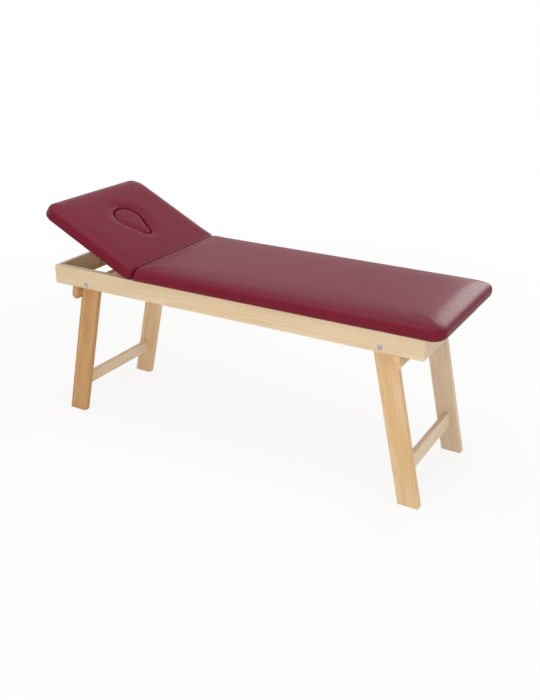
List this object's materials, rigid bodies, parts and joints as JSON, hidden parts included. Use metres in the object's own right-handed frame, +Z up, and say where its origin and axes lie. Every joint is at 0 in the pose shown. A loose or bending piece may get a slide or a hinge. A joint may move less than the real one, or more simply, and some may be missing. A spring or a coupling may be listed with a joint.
{
  "type": "treatment table",
  "caption": "Wooden treatment table with a padded top, a tilting head section with a plugged face opening, and splayed legs that fold under the frame.",
  "frame": {"origin": "on the floor under the middle of the table's length and width, head section raised", "axes": "+X towards the foot end, +Y towards the far side rail, +Z up"},
  "size_m": [1.8558, 0.62, 0.9997],
  "materials": {
    "pale pine": "clear satin lacquer",
    "honey pine": "clear satin lacquer",
    "straw pine": "clear satin lacquer",
    "birch plywood": "sanded",
    "burgundy vinyl": "soft satin",
    "zinc-plated steel": "bright zinc"
  },
  "bodies": {
    "frame": {"near_rail": "pale pine", "far_rail": "pale pine", "head_end_board": "pale pine", "foot_end_board": "pale pine", "hinge_bearer": "pale pine", "middle_bearer": "pale pine", "foot_bearer": "pale pine", "corner_blocks": "pale pine", "main_panel": "birch plywood", "main_cushion": "burgundy vinyl", "pivot_bolts": "zinc-plated steel", "pivot_washers": "zinc-plated steel", "pivot_nuts": "zinc-plated steel", "fixed_hinge_leaves": "zinc-plated steel", "hinge_pins": "zinc-plated steel", "stay_foot_bracket": "zinc-plated steel", "stay_foot_pin": "zinc-plated steel"},
    "head_section": {"head_panel": "birch plywood", "head_cushion": "burgundy vinyl", "moving_hinge_leaves": "zinc-plated steel", "stay_top_bracket": "zinc-plated steel", "stay_top_pin": "zinc-plated steel"},
    "face_plug": {"plug_base": "birch plywood", "plug_cushion": "burgundy vinyl"},
    "stay": {"notched_stay": "zinc-plated steel"},
    "head_legs": {"head_near_leg": "honey pine", "head_far_leg": "honey pine", "head_stretcher": "pale pine", "head_stop_bar": "honey pine", "head_stop_screws": "zinc-plated steel"},
    "foot_legs": {"foot_near_leg": "straw pine", "foot_far_leg": "straw pine", "foot_stretcher": "pale pine", "foot_stop_bar": "straw pine", "foot_stop_screws": "zinc-plated steel"}
  },
  "joints": [
    {"name": "head_tilt", "type": "hinge", "parent": "frame", "child": "head_section", "pos_m": [-0.46514, 0, 0.7245], "axis": [0, 1, 0], "range_deg": [-26.6, 0]},
    {"name": "face_plug_lift", "type": "slide", "parent": "head_section", "child": "face_plug", "axis": [0.4478, 0, 0.8942], "range_m": [0, 0.07]},
    {"name": "stay_swing", "type": "hinge", "parent": "frame", "child": "stay", "pos_m": [-0.83714, 0, 0.67], "axis": [0, 1, 0], "range_deg": [0, 15.66]},
    {"name": "head_legs_fold", "type": "hinge", "parent": "frame", "child": "head_legs", "pos_m": [-0.70964, 0, 0.6645], "axis": [0, -1, 0], "range_deg": [0, 102.2]},
    {"name": "foot_legs_fold", "type": "hinge", "parent": "frame", "child": "foot_legs", "pos_m": [0.69336, 0, 0.6645], "axis": [0, 1, 0], "range_deg": [0, 102.2]}
  ],
  "couplings": [
    {"joint": "stay_swing", "follows": "head_tilt", "ratio": -0.58879}
  ]
}
